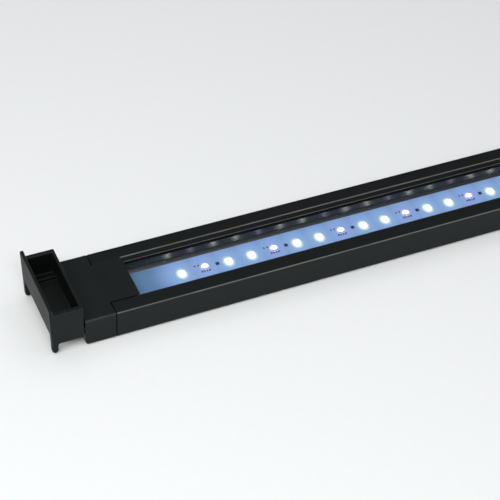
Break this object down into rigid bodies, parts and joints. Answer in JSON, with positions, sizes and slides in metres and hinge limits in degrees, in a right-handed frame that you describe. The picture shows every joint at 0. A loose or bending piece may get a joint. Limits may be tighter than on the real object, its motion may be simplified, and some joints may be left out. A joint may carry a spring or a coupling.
{
  "type": "led aquarium light",
  "caption": "Slim black light bar for an aquarium, with a row of white and colour LEDs behind a recessed clear lens and a sliding docking mount at each end.",
  "frame": {"origin": "centre of the bar's flat back face, at mid length", "axes": "+X along the bar, from the end with the plain cap to the end with the cord's inlet; +Y across the bar, to the side with the cord's inlet; +Z out of the lit face. The bar lies on its back with its light up. In use it is turned over about X, so +Z points down into the tank."},
  "size_m": [0.5226, 0.0734, 0.0429],
  "materials": {
    "black_anodised": "satin",
    "cap_plastic": "fine texture",
    "mount_plastic": "fine texture",
    "gasket_rubber": "matt",
    "screw_steel": "satin",
    "lens_clear": "clear gloss",
    "reflector_black": "gloss",
    "thermal_silicone": "matt",
    "white_mask": "semi gloss",
    "terminal_plastic": "satin",
    "led_case": "satin",
    "phosphor": "satin",
    "colour_die": "gloss",
    "led_window": "clear",
    "chip_black": "satin",
    "gland_nylon": "satin",
    "tongue_metal": "satin",
    "shoe_plastic": "satin"
  },
  "bodies": {
    "bar": {"housing": "black_anodised", "end_cap_left": "cap_plastic", "end_cap_right": "cap_plastic", "cap_gasket_left": "gasket_rubber", "cap_gasket_right": "gasket_rubber", "cap_screws_left": "screw_steel", "cap_screws_right": "screw_steel", "lens": "lens_clear", "lens_seal": "gasket_rubber", "reflector": "reflector_black", "thermal_pad": "thermal_silicone", "pcb": "white_mask", "pcb_screws": "screw_steel", "pcb_terminal": "terminal_plastic", "white_led_cases": "led_case", "white_led_phosphors": "phosphor", "rgb_led_cases": "led_case", "rgb_led_dies": "colour_die", "rgb_led_windows": "led_window", "resistors": "chip_black", "gland_body": "gland_nylon", "gland_nut": "gland_nylon", "gland_seal": "gasket_rubber"},
    "left_mount": {"mount_left": "mount_plastic", "tongue_left": "tongue_metal", "tongue_screws_left": "screw_steel", "tongue_shoe_left": "shoe_plastic"},
    "right_mount": {"mount_right": "mount_plastic", "tongue_right": "tongue_metal", "tongue_screws_right": "screw_steel", "tongue_shoe_right": "shoe_plastic"}
  },
  "joints": [
    {"name": "left_mount_slide", "type": "slide", "parent": "bar", "child": "left_mount", "axis": [-1, 0, 0], "range_m": [0, 0.15]},
    {"name": "right_mount_slide", "type": "slide", "parent": "bar", "child": "right_mount", "axis": [1, 0, 0], "range_m": [0, 0.15]}
  ]
}
